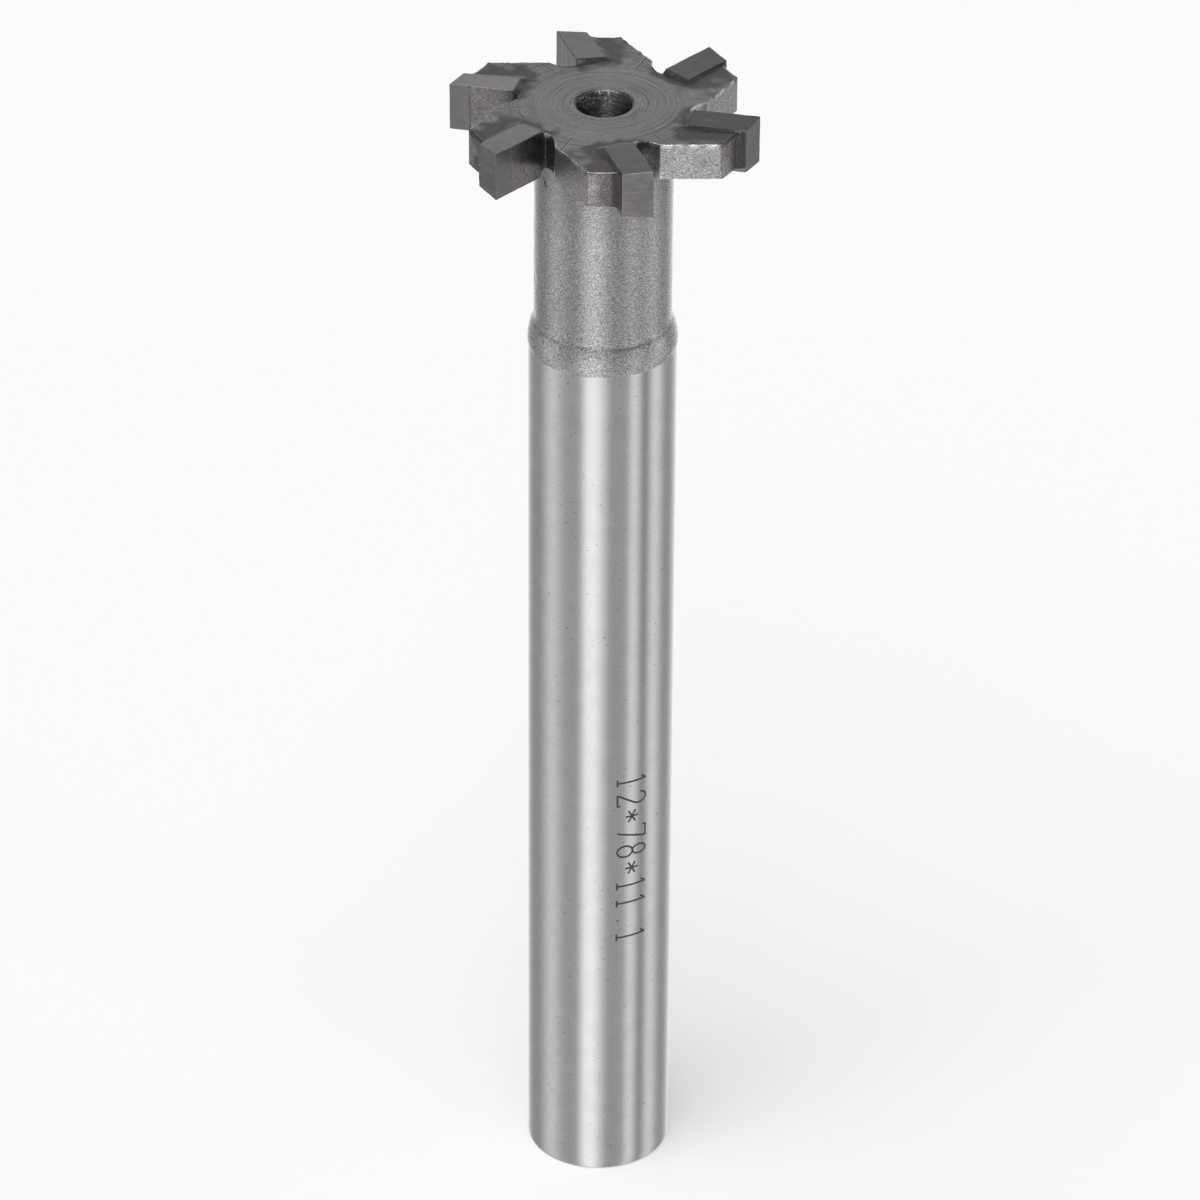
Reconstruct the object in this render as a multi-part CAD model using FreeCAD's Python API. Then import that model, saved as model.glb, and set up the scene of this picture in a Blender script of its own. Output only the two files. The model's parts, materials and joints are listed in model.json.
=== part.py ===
import FreeCAD, Part
import math
import os

from FreeCAD import Vector

# T slot cutter: a round shank, a slimmer neck and a wide thin head, all one piece of steel,
# with a carbide cutting tip brazed into a seat in front of each tooth.
# It stands upright on the end of its shank, with the head on top. Sizes are in millimetres
# and degrees. The origin is the centre of the shank's end face, and +Z runs towards the head.

# Whole tool
overall_length = 100.0         # from the shank's end to the top cutting edges
cutting_diameter = 25.0        # across the outer cutting edges
cutting_width = 4.0            # from the lower cutting edges to the upper ones
tooth_count = 6

# Shank, shoulder and neck
shank_diameter = 12.0
shank_length = 78.4            # the ground part
shank_end_chamfer = 0.2
shoulder_length = 2.6          # the cone between shank and neck
neck_diameter = 11.1
neck_fillet = 0.3              # under the head

# Head, the turned disc that carries the tips
tip_above_head = 0.3           # how far the tips stand above the head
tip_below_head = 0.7           # and below it
tip_overhang = 0.95            # and outside the rim
rim_chamfer_top = 0.25
rim_chamfer_bottom = 0.1

# Teeth, seen from above: the tool cuts turning anticlockwise
land_angle = 24.5              # from a tip's front face back to the end of the land behind it
gullet_wall_angle = 17.0       # how far a gullet's long wall leans back from square to its tip's front
gullet_root_radius = 1.95      # the round pocket at the bottom of each gullet
gullet_root_offset = 0.2       # how far that pocket's centre lies in front of the tip
gullet_root_past_tip = 0.43    # how much deeper the pocket goes than the tip's inner end

# Carbide tips
tip_thickness = 2.4
tip_to_neck = 1.75             # steel between the neck's radius and a tip's inner end
flank_relief = 14.5            # behind the outer cutting edge
side_relief = 4.0              # behind the top and bottom cutting edges

# Braze
braze_film = 0.1               # between a tip and its seat
bead_width = 0.6               # the fillet of braze round the foot of a tip
bead_height_top = 0.12
bead_height_bottom = 0.3
bead_lip = 0.03                # the bead's thickness where it ends on the tip

# Centre holes, one in the head and one in the shank's end
centre_cone_angle = 60.0
centre_guard_angle = 120.0     # the shallow guard chamfer round the mouth
centre_guard_width = 0.3
centre_drill_point = 118.0
centre_pilot_diameter = 2.0
centre_pilot_length = 2.0
head_centre_diameter = 4.5
shank_centre_diameter = 4.0

shank_radius = shank_diameter / 2
neck_radius = neck_diameter / 2
neck_start = shank_length + shoulder_length
cutting_radius = cutting_diameter / 2
land_radius = cutting_radius - tip_overhang
head_top = overall_length - tip_above_head
head_bottom = overall_length - cutting_width + tip_below_head
tip_bottom = overall_length - cutting_width
tip_inner = neck_radius + tip_to_neck
pitch = 360.0 / tooth_count
reach = cutting_diameter       # longer than anything that a cut has to pass through
up = Vector(0, 0, 1)
axis_foot = Vector(0, 0, 0)


def prism(points, z_low, z_high):
    """A closed outline of (x, y) points, raised from z_low to z_high."""
    corners = [Vector(x, y, z_low) for x, y in points]
    face = Part.Face(Part.makePolygon(corners + corners[:1]))
    return face.extrude(up * (z_high - z_low))


def turned(profile):
    """A closed outline of (radius, z) points, revolved round the tool's axis."""
    corners = [Vector(r, 0, z) for r, z in profile]
    face = Part.Face(Part.makePolygon(corners + corners[:1]))
    return face.revolve(axis_foot, up, 360)


def at_tooth(shape, number):
    """A copy of a shape made at the first tooth, turned to another tooth."""
    return shape.rotated(axis_foot, up, number * pitch)


def cone_depth(wide, narrow, angle):
    """Depth of a cone of that full angle between two diameters."""
    return (wide - narrow) / 2 / math.tan(math.radians(angle / 2))


def centre_hole(face_z, mouth_diameter, inwards):
    """A centre hole in the face at face_z. inwards is +1 or -1, the way it goes along Z."""
    guard_diameter = mouth_diameter + 2 * centre_guard_width
    guard_end = cone_depth(guard_diameter, mouth_diameter, centre_guard_angle)
    cone_end = guard_end + cone_depth(mouth_diameter, centre_pilot_diameter, centre_cone_angle)
    pilot_end = cone_end + centre_pilot_length
    point_end = pilot_end + cone_depth(centre_pilot_diameter, 0, centre_drill_point)
    outline = [
        (0, 0),
        (guard_diameter / 2, 0),
        (mouth_diameter / 2, guard_end),
        (centre_pilot_diameter / 2, cone_end),
        (centre_pilot_diameter / 2, pilot_end),
        (0, point_end),
    ]
    return turned([(r, face_z + inwards * depth) for r, depth in outline])


def turned_blank():
    """Shank, shoulder, neck and head before the teeth are cut."""
    outline = [
        (0, 0),
        (shank_radius - shank_end_chamfer, 0),
        (shank_radius, shank_end_chamfer),
        (shank_radius, shank_length),
        (neck_radius, neck_start),
        (neck_radius, head_bottom),
        (land_radius - rim_chamfer_bottom, head_bottom),
        (land_radius, head_bottom + rim_chamfer_bottom),
        (land_radius, head_top - rim_chamfer_top),
        (land_radius - rim_chamfer_top, head_top),
        (0, head_top),
    ]
    blank = turned(outline)
    corner = [e for e in blank.Edges if is_neck_corner(e)]
    blank = blank.makeFillet(neck_fillet, corner)
    blank = blank.cut(centre_hole(head_top, head_centre_diameter, -1))
    return blank.cut(centre_hole(0, shank_centre_diameter, 1))


def is_neck_corner(edge):
    """True for the circle where the neck meets the head's underside."""
    curve = edge.Curve
    if not isinstance(curve, Part.Circle):
        return False
    return abs(curve.Radius - neck_radius) < 1e-6 and abs(curve.Center.z - head_bottom) < 1e-6


def gullet():
    """The chip space in front of the first tip, right through the head and its fillet.

    A long flat wall runs in from the back of the next tooth, and a round pocket ends it
    at the foot of the tip. Both stop at the plane of the tip's front face, y = 0.
    """
    z_low = head_bottom - neck_fillet
    z_high = head_top + rim_chamfer_top
    corner_angle = math.radians(pitch - land_angle)
    corner = Vector(land_radius * math.cos(corner_angle), land_radius * math.sin(corner_angle), 0)
    lean = math.radians(gullet_wall_angle)
    along = Vector(math.sin(lean), math.cos(lean), 0)
    inner = corner - along * (corner.y / along.y)
    outer = corner + along * reach
    wall = prism([(inner.x, 0), (outer.x, outer.y), (reach, 0)], z_low, z_high)
    pocket_centre = tip_inner - gullet_root_past_tip + gullet_root_radius
    pocket = Part.makeCylinder(
        gullet_root_radius, z_high - z_low, Vector(pocket_centre, gullet_root_offset, z_low)
    )
    front = prism([(0, 0), (reach, 0), (reach, reach), (0, reach)], z_low, z_high)
    return wall.fuse(pocket.common(front))


def seat():
    """The square notch that holds the first tip, with room for the film of braze."""
    back = -(tip_thickness + braze_film)
    inner = tip_inner - braze_film
    outline = [(inner, back), (reach, back), (reach, 0), (inner, 0)]
    return prism(outline, tip_bottom, overall_length)


def cutter_body():
    """The steel body: the turned blank with its gullets and tip seats."""
    body = turned_blank()
    notch = gullet().fuse(seat())
    for number in range(tooth_count):
        body = body.cut(at_tooth(notch, number))
    return body.removeSplitter()


def carbide_tip():
    """The first tip: front face on the plane y = 0, relieved behind all three cutting edges."""
    side_drop = tip_thickness * math.tan(math.radians(side_relief))
    section = [
        (0, tip_bottom),
        (0, overall_length),
        (-tip_thickness, overall_length - side_drop),
        (-tip_thickness, tip_bottom + side_drop),
    ]
    corners = [Vector(tip_inner, y, z) for y, z in section]
    bar = Part.Face(Part.makePolygon(corners + corners[:1])).extrude(Vector(reach, 0, 0))
    flank_drop = tip_thickness * math.tan(math.radians(flank_relief))
    inner = tip_inner - tip_thickness
    plan = [
        (inner, 0),
        (cutting_radius, 0),
        (cutting_radius - flank_drop, -tip_thickness),
        (inner, -tip_thickness),
    ]
    return bar.common(prism(plan, tip_bottom, overall_length))


def bead(face_z, outwards, height, clear_radius):
    """A sloping fillet of braze on the head's face, along the back and inner end of the tip.

    It is a block whose inner end and back lean over towards the tip. outwards is +1 on the
    head's top and -1 on its underside.
    """
    slope = Part.makeWedge(
        tip_inner - bead_width, 0, 0, 0, tip_inner - bead_lip,
        reach, height, tip_thickness + bead_width, tip_thickness + bead_lip, reach,
    )
    slope.rotate(axis_foot, Vector(1, 0, 0), 90)
    if outwards < 0:
        slope = slope.mirror(axis_foot, up)
    slope.translate(up * face_z)
    low = min(face_z, face_z + outwards * height)
    return slope.common(Part.makeCylinder(clear_radius, height, up * low))


def braze_joint(body, tip):
    """The braze of the first tip: the film in its seat and the beads round its foot."""
    back = -(tip_thickness + braze_film)
    inner = tip_inner - braze_film
    film_plan = [(inner, back), (reach, back), (reach, 0), (inner, 0)]
    film = prism(film_plan, head_bottom, head_top)
    inside_rim = Part.makeCylinder(land_radius, overall_length)
    rim_bead = prism(rim_bead_plan(), head_bottom + rim_chamfer_bottom, head_top - rim_chamfer_top)
    metal = film.common(inside_rim).fuse(rim_bead)
    metal = metal.fuse(bead(head_top, 1, bead_height_top, land_radius - rim_chamfer_top))
    metal = metal.fuse(bead(head_bottom, -1, bead_height_bottom, land_radius - rim_chamfer_bottom))
    return metal.cut(body).cut(tip).removeSplitter()


def rim_bead_plan():
    """The corner between the land and the back of the tip, filled with a straight slope."""
    on_tip = cutting_radius - tip_thickness * math.tan(math.radians(flank_relief)) - bead_lip
    back = math.asin((tip_thickness + bead_width) / land_radius)
    on_land = (land_radius * math.cos(back), -(tip_thickness + bead_width))
    return [(on_tip, -tip_thickness), on_land, (tip_inner, -tip_thickness)]


def save(shape, node):
    """Checks that a node is one sound solid, and writes its file."""
    if len(shape.Solids) != 1 or not shape.isValid():
        raise ValueError(f"{node} has {len(shape.Solids)} solids, valid {shape.isValid()}")
    shape.Solids[0].exportStep(f"parts/{node}.step")


os.makedirs("parts", exist_ok=True)
body = cutter_body()
tip = carbide_tip()
braze = braze_joint(body, tip)
save(body, "cutter_body")
for number in range(tooth_count):
    save(at_tooth(tip, number), f"carbide_tip_{number + 1}")
    save(at_tooth(braze, number), f"braze_joint_{number + 1}")
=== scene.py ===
import json
import math

import bmesh
import bpy
import numpy as np
from mathutils import Matrix, Vector, geometry


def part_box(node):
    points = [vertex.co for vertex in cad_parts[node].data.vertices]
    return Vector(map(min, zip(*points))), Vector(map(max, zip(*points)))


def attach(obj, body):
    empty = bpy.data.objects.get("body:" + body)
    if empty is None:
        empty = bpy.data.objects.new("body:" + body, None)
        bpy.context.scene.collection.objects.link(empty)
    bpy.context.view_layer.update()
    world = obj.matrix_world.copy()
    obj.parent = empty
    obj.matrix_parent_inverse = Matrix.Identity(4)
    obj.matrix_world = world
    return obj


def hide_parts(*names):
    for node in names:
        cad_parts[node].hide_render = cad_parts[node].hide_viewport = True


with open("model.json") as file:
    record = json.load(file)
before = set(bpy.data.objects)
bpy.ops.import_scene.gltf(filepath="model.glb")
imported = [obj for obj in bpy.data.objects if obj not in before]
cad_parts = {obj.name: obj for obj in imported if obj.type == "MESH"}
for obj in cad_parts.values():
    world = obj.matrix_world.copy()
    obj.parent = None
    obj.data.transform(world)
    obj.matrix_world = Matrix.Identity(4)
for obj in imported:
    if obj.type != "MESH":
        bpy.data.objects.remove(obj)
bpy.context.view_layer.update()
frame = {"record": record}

# The studio: a pale floor and a light tent, whose tall soft panels stand all round the cutter. The
# bright and dark stripes down its ground shank are those panels and their gaps. The camera looks
# down at the cutting head from the angle of the photograph.
MM = 0.001
CAMERA_AZIMUTH = math.radians(11.9)
CAMERA_ELEVATION = math.radians(31.93)
CAMERA_ROLL = math.radians(0.347)
CAMERA_DISTANCE = 540.6 * MM
CAMERA_AIM = Vector((-0.09, 0.0, 53.73)) * MM
FOCAL_PIXELS = 6573.2
FRAME_PIXELS = 1200

turn = Matrix.Rotation(CAMERA_AZIMUTH, 3, "Z")
towards_camera = turn @ Vector((0, -math.cos(CAMERA_ELEVATION), math.sin(CAMERA_ELEVATION)))
camera = bpy.data.objects.new("camera", bpy.data.cameras.new("camera"))
camera.data.lens = FOCAL_PIXELS / FRAME_PIXELS * camera.data.sensor_width
camera.data.clip_start, camera.data.clip_end = 0.01, 20.0
camera.rotation_mode = "QUATERNION"
camera.location = turn @ CAMERA_AIM + towards_camera * CAMERA_DISTANCE
level = (-towards_camera).to_track_quat("-Z", "Y")
camera.rotation_quaternion = level @ Matrix.Rotation(CAMERA_ROLL, 3, "Z").to_quaternion()
bpy.context.scene.collection.objects.link(camera)
bpy.context.scene.camera = camera
bpy.context.scene.view_settings.view_transform = "Standard"


def node(tree, kind, inputs=(), **settings):
    """A new node. Each input is a number, a colour or another node's output socket."""
    made = tree.nodes.new(kind)
    for name, value in settings.items():
        setattr(made, name, value)
    for key, value in dict(inputs).items():
        if isinstance(value, bpy.types.NodeSocket):
            tree.links.new(value, made.inputs[key])
        else:
            made.inputs[key].default_value = value
    return made


def maths(tree, operation, *values):
    """The output of a Math node."""
    return node(tree, "ShaderNodeMath", enumerate(values), operation=operation).outputs[0]


def times(tree, value, other):
    """The product of two values."""
    return maths(tree, "MULTIPLY", value, other)


def rgba(colour):
    """A colour's four numbers, from a single grey or from its red, green and blue."""
    return (colour, colour, colour, 1) if isinstance(colour, (int, float)) else (*colour, 1)


def ramp(tree, value, stops):
    """A Color Ramp through (position, grey or colour) stops."""
    made = node(tree, "ShaderNodeValToRGB", {"Fac": value})
    elements = made.color_ramp.elements
    while len(elements) < len(stops):
        elements.new(0.5)
    for element, (position, colour) in zip(elements, stops):
        element.position = position
        element.color = rgba(colour)
    return made.outputs["Color"]


def mixed(tree, share, low, high):
    """The colour between low and high by a share of 0 to 1. Each is a grey, a colour or a socket.

    A Mix node has its colours on inputs 6 and 7 and their mixture on output 2."""
    inputs = {0: share}
    for key, colour in ((6, low), (7, high)):
        inputs[key] = colour if isinstance(colour, bpy.types.NodeSocket) else rgba(colour)
    return node(tree, "ShaderNodeMix", inputs, data_type="RGBA").outputs[2]


def blank_tree(owner):
    """The owner's emptied node tree, and its output node."""
    owner.use_nodes = True
    owner.node_tree.nodes.clear()
    kind = "ShaderNodeOutputWorld" if isinstance(owner, bpy.types.World) else "ShaderNodeOutputMaterial"
    return owner.node_tree, node(owner.node_tree, kind)


# Each panel of the tent, by bearing: where its light starts, is full, is full last and ends, how
# bright it is, and how bright the gap after it is. Bearings run on from the seam, all round to it.
TENT_SEAM = 45
GAP_BRIGHTNESS = 0.40
panels = [
    (54, 92, 110, 142, 1.68, GAP_BRIGHTNESS),
    (173, 195, 201, 223, 0.98, 0.46),
    (246, 259, 272, 296, 1.44, 0.46),
    (322, 329, 338, 350, 1.12, 0.18),
    (354, 367, 376, 394, 1.12, GAP_BRIGHTNESS),
]
BACKGROUND = 0.955

world = bpy.data.worlds.new("light_tent")
bpy.context.scene.world = world
tree, output = blank_tree(world)
direction = node(tree, "ShaderNodeTexCoord").outputs["Generated"]
axes = node(tree, "ShaderNodeSeparateXYZ", {0: direction}).outputs
bearing = maths(tree, "ARCTAN2", axes["Y"], axes["X"])
bearing = maths(tree, "SUBTRACT", maths(tree, "DIVIDE", bearing, 2 * math.pi), TENT_SEAM / 360 - 1)
bearing = maths(tree, "FRACT", bearing)
stops = [(0.0, GAP_BRIGHTNESS)]
for start, full, full_end, end, brightness, gap in panels:
    for degrees, grey in ((start, stops[-1][1]), (full, brightness), (full_end, brightness), (end, gap)):
        stops.append(((degrees - TENT_SEAM) / 360, grey))
walls = ramp(tree, bearing, stops)
upward = maths(tree, "MULTIPLY_ADD", axes["Z"], 0.5, 0.5)
height = ramp(tree, upward, [(0.52, 0), (0.66, 0.57), (0.86, 1)])
ceiling = ramp(tree, upward, [(0.87, 0.18), (0.95, 0.40)])
tent = mixed(tree, height, walls, ceiling)
rays = node(tree, "ShaderNodeLightPath").outputs
tent_light = node(tree, "ShaderNodeBackground", {"Color": tent})
pale = node(tree, "ShaderNodeBackground", {"Color": rgba(BACKGROUND)})
seen = node(tree, "ShaderNodeMixShader", {
    0: rays["Is Camera Ray"], 1: tent_light.outputs[0], 2: pale.outputs[0]})
tree.links.new(seen.outputs[0], output.inputs["Surface"])


def mesh_object(name, points, faces, places=()):
    """A new object at the origin. Its points are in millimetres, its mesh in metres.

    places gives each face's number in the object's list of materials."""
    mesh = bpy.data.meshes.new(name)
    mesh.from_pydata((np.asarray(points) * MM).tolist(), [], [list(face) for face in faces])
    if len(places):
        mesh.polygons.foreach_set("material_index", np.asarray(places, np.int32))
    mesh.update()
    made = bpy.data.objects.new(name, mesh)
    bpy.context.scene.collection.objects.link(made)
    return made


FLOOR_RADIUS = 2500
FLOOR_SIDES = 64
floor_turn = np.linspace(0, 2 * np.pi, FLOOR_SIDES, endpoint=False)
floor_rim = FLOOR_RADIUS * np.stack([np.cos(floor_turn), np.sin(floor_turn), 0 * floor_turn], -1)
floor = mesh_object("floor", floor_rim, [range(FLOOR_SIDES)])

# The lamp lights the floor most at this place, in metres. To the camera alone the paint glows more
# the further it lies from there, so that the floor is one even pale grey up to the horizon.
LAMP_SPOT = (-0.10, -0.28, 0)
floor_paint = bpy.data.materials.new("pale_floor")
tree, output = blank_tree(floor_paint)
rays = node(tree, "ShaderNodeLightPath").outputs
matt = node(tree, "ShaderNodeBsdfDiffuse", {"Color": rgba(0.85)})
place = node(tree, "ShaderNodeTexCoord").outputs["Object"]
away = node(tree, "ShaderNodeVectorMath", {0: place, 1: LAMP_SPOT}, operation="DISTANCE")
fill = ramp(tree, maths(tree, "DIVIDE", away.outputs["Value"], FLOOR_RADIUS * MM), [
    (0, 0.224), (0.08, 0.254), (0.16, 0.331), (0.24, 0.422),
    (0.32, 0.50), (0.40, 0.555), (0.60, 0.622), (1, 0.651)])
seen_fill = times(tree, rays["Is Camera Ray"], fill)
glow = node(tree, "ShaderNodeEmission", {"Strength": seen_fill})
paint = node(tree, "ShaderNodeAddShader", {0: matt.outputs[0], 1: glow.outputs[0]})
tree.links.new(paint.outputs[0], output.inputs["Surface"])
floor.data.materials.append(floor_paint)
floor.visible_glossy = False

# One square soft lamp hangs high over the cutter, on the camera's side. Its distance and size are
# in metres.
LAMP_BEARING = math.radians(250)
LAMP_ELEVATION = math.radians(68)
LAMP_DISTANCE = 0.9
LAMP_SIZE = 0.7
LAMP_WATTS = 5.0
LAMP_AIM = Vector((0, 0, 60 * MM))
lamp = bpy.data.objects.new("top_lamp", bpy.data.lights.new("top_lamp", "AREA"))
lamp.data.size = LAMP_SIZE
lamp.data.energy = LAMP_WATTS
towards_lamp = Vector((
    math.cos(LAMP_BEARING) * math.cos(LAMP_ELEVATION),
    math.sin(LAMP_BEARING) * math.cos(LAMP_ELEVATION),
    math.sin(LAMP_ELEVATION)))
lamp.location = towards_lamp * LAMP_DISTANCE + LAMP_AIM
lamp.rotation_mode = "QUATERNION"
lamp.rotation_quaternion = (-towards_lamp).to_track_quat("-Z", "Y")
bpy.context.scene.collection.objects.link(lamp)

# The steel body: shank, neck and disc head, turned from one bar. The shank is ground, the collar,
# the neck and the gullets are blasted, and the head's face still has its turning marks. The heat of
# brazing left it dull, and dark close to the tips.
TOOTH_COUNT = 6
tip_low, tip_high = (np.array(corner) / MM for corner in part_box("carbide_tip_1"))
SHANK_RADIUS = frame["record"]["mounts"][0]["dims"]["r_mm"]
HEAD_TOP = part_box("cutter_body")[1][2] / MM
HEAD_THICKNESS = 3.0
HEAD_BOTTOM = HEAD_TOP - HEAD_THICKNESS
TIP_OVERHANG = 0.95
LAND_RADIUS = tip_high[0] - TIP_OVERHANG
NECK_RADIUS = 5.55
NECK_FILLET = 0.3
NECK_START = 81.0
SHANK_TOP = 78.4
SHANK_CHAMFER = 0.2
BRAZE_GAP = 0.1
TIP_INNER = tip_low[0]
TIP_BACK = tip_low[1]
LAND_CORNER = 35.5
WALL_LEAN = 17.0
POCKET_RADIUS = 1.95
POCKET_PAST_TIP = 0.43
POCKET_OFFSET = 0.2
POCKET_CENTRE = complex(TIP_INNER - POCKET_PAST_TIP + POCKET_RADIUS, POCKET_OFFSET)
OUTLINE_STEP = 0.09
OUTLINE_WEAR = 0.10
BURR_HEIGHT = 0.05


def at_tooth(plan, number):
    """Plan points as complex numbers, turned about the axis by that many teeth."""
    return plan * np.exp(2j * np.pi * number / TOOTH_COUNT)


def raised(plan, z):
    """Plan points at the height z, as rows of x, y and z."""
    return np.column_stack([plan.real, plan.imag, z + 0 * plan.real])


def arc(centre, radius, start, end):
    """Complex points on a circle between two angles in degrees."""
    count = max(3, int(abs(math.radians(end - start)) * radius / OUTLINE_STEP))
    return centre + radius * np.exp(1j * np.radians(np.linspace(start, end, count)))


def along(corners):
    """Complex points on straight runs through the corners."""
    runs = []
    for a, b in zip(corners, corners[1:]):
        count = max(2, int(abs(b - a) / OUTLINE_STEP))
        runs.append(a + (b - a) * np.linspace(0, 1, count, endpoint=False))
    return np.concatenate(runs + [[corners[-1]]])


def blurred(values, width):
    """Values round a closed outline, blurred along it by a bell curve of that width."""
    waves = np.fft.fftfreq(len(values), OUTLINE_STEP)
    return np.fft.ifft(np.fft.fft(values) * np.exp(-2 * (np.pi * waves * width) ** 2))


def head_outline():
    """The head seen from above, anticlockwise, as evenly spaced complex points.

    Each tooth has its land, its seat, the round pocket in front of the tip and the long wall
    of the gullet. The outline is then blurred along its length, which rounds its corners."""
    seat_back, seat_inner = TIP_BACK - BRAZE_GAP, TIP_INNER - BRAZE_GAP
    land_end = -math.degrees(math.asin(-seat_back / LAND_RADIUS))
    land = arc(0, LAND_RADIUS, LAND_CORNER - 360 / TOOTH_COUNT, land_end)
    foot = complex(POCKET_CENTRE.real - math.sqrt(POCKET_RADIUS**2 - POCKET_CENTRE.imag**2), 0)
    corner = LAND_RADIUS * np.exp(1j * math.radians(LAND_CORNER))
    lean = np.exp(1j * math.radians(90 - WALL_LEAN))
    across = (POCKET_CENTRE - corner) * np.conj(lean)
    wall_foot = corner + lean * (across.real + math.sqrt(POCKET_RADIUS**2 - across.imag**2))
    start = math.degrees(np.angle(foot - POCKET_CENTRE)) % 360
    end = math.degrees(np.angle(wall_foot - POCKET_CENTRE)) % 360
    pocket = arc(POCKET_CENTRE, POCKET_RADIUS, start, end)
    seat = along([land[-1], complex(seat_inner, seat_back), complex(seat_inner, 0), foot])
    wall = along([wall_foot, corner])
    tooth = np.concatenate([land[:-1], seat[:-1], pocket[:-1], wall[:-1]])
    drawn = np.concatenate([at_tooth(tooth, number) for number in range(TOOTH_COUNT)])
    drawn = np.append(drawn, drawn[0])
    reached = np.append(0, np.cumsum(np.abs(np.diff(drawn))))
    count = int(reached[-1] / OUTLINE_STEP)
    even = np.interp(np.linspace(0, reached[-1], count, endpoint=False), reached, drawn)
    return blurred(even, OUTLINE_WEAR)


RIPPLE_WAVES = 28
RIPPLE_SCALE = 5.3


def ripple(points, wavelength, seed):
    """Smooth random heights of about -1 to 1: a sum of plane sine waves in random directions,
    over about the square root of their number."""
    rng = np.random.default_rng(seed)
    waves = rng.normal(size=(RIPPLE_WAVES, 3))
    lengths = wavelength * rng.uniform(0.7, 1.6, RIPPLE_WAVES) * np.linalg.norm(waves, axis=1)
    waves *= 2 * np.pi / lengths[:, None]
    phases = rng.uniform(0, 2 * np.pi, RIPPLE_WAVES)
    return np.sin(points @ waves.T + phases).sum(-1) / RIPPLE_SCALE


def grid_faces(rows, columns, closed=True):
    """Quads of a grid of points stored row by row. closed joins its last column to its first."""
    ends = columns if closed else columns - 1
    row, column = np.meshgrid(np.arange(rows - 1), np.arange(ends), indexing="ij")
    after = (column + 1) % columns
    below, above = row * columns, (row + 1) * columns
    return np.stack([below + column, below + after, above + after, above + column], -1).reshape(-1, 4)


def inside(outline, plan):
    """True for the plan points inside a closed outline: a ray from each crosses it oddly often."""
    a, b = outline[:, None], np.roll(outline, -1)[:, None]
    spans = (a.imag > plan.imag) != (b.imag > plan.imag)
    where = a.real + (plan.imag - a.imag) * (b.real - a.real) / np.where(spans, b.imag - a.imag, 1)
    return (spans & (plan.real < where)).sum(0) % 2 == 1


def flat_ring(outer, inner, z, spacing):
    """A flat face between two closed outlines of complex points, as points and triangles.

    Its inside points lie on circles about the axis, a set distance apart."""
    radii = np.arange(np.abs(inner).max() + spacing, np.abs(outer).max(), spacing)
    counts = (2 * np.pi * radii / spacing).astype(int)
    scattered = np.concatenate([
        r * np.exp(2j * np.pi * (np.arange(count) + 0.5 * (i % 2)) / count)
        for i, (r, count) in enumerate(zip(radii, counts))])
    clear = np.abs(scattered[:, None] - outer[None, ::2]).min(1) > spacing * 0.6
    scattered = scattered[clear & inside(outer, scattered)]
    plan = np.concatenate([outer, inner, scattered])
    rims = []
    for loop, first in ((outer, 0), (inner, len(outer))):
        index = np.arange(len(loop)) + first
        rims += np.column_stack([index, np.roll(index, -1)]).tolist()
    made = geometry.delaunay_2d_cdt([Vector((p.real, p.imag)) for p in plan], rims, [], 0, 1e-9)
    flat = np.array([tuple(v) for v in made[0]])
    triangles = np.array(made[2])
    middle = flat[triangles].mean(1) @ np.array([1, 1j])
    keep = inside(outer, middle) & (np.abs(middle) > np.abs(inner).min())
    return np.column_stack([flat, np.full(len(flat), z)]), triangles[keep]


def revolved(profile, count):
    """Points of a profile of (radius, z) rows, carried round the axis in count steps."""
    profile = np.asarray(profile, float)
    ring = profile[:, 0, None] * np.exp(2j * np.pi * np.arange(count) / count)
    return np.stack([ring.real, ring.imag, np.repeat(profile[:, 1, None], count, 1)], -1).reshape(-1, 3)


outline = head_outline()
heading = np.roll(outline, -1) - np.roll(outline, 1)
heading /= np.abs(heading)
inwards = heading * 1j
bend = np.angle(np.roll(heading, -1) / np.roll(heading, 1)) / (2 * OUTLINE_STEP)
on_land = np.clip(blurred((np.abs(outline) > LAND_RADIUS - 0.05).astype(float), 0.15).real, 0, 1)
burr = BURR_HEIGHT * np.clip(0.25 + ripple(raised(outline, 0), 0.8, 11), 0, 1.4) * (1 - on_land)


def kept_in(size):
    """An edge's rounding size, made smaller at and near the outline's sharp turns, so that the
    line inside the rounding never crosses itself."""
    size = size / (1 + 2.5 * size * np.clip(bend, 0, None))
    return np.min([np.roll(size, k) + 0.35 * abs(k) * OUTLINE_STEP for k in range(-8, 9)], axis=0)


# The head's wall in rings, from its lower edge to its upper one: a quarter circle, a straight side
# and a quarter circle. Each edge also stands out by a burr that rises and falls as half a sine.
top_break = kept_in(0.08 + 0.20 * on_land)
bottom_break = kept_in(0.06 + 0.08 * on_land)
support = kept_in(0.03)
shares = np.linspace(0, 1, 7)
rings = [(outline + inwards * (bottom_break + support), HEAD_BOTTOM)]
for share in shares[::-1]:
    t = share * math.pi / 2
    lift = 0.5 * burr * math.sin(math.pi * share)
    rings.append((outline + inwards * bottom_break * (1 - math.cos(t)),
                  HEAD_BOTTOM + bottom_break * (1 - math.sin(t)) - lift))
low, high = HEAD_BOTTOM + bottom_break, HEAD_TOP - top_break
for share in np.linspace(0, 1, 10)[1:-1]:
    rings.append((outline, low + (high - low) * share))
for share in shares:
    t = share * math.pi / 2
    lift = burr * math.sin(math.pi * share)
    rings.append((outline + inwards * top_break * (1 - math.cos(t)),
                  HEAD_TOP - top_break * (1 - math.sin(t)) + lift))
rings.append((outline + inwards * (top_break + support), HEAD_TOP))
wall_points = np.concatenate([raised(plan, z) for plan, z in rings])

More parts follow.
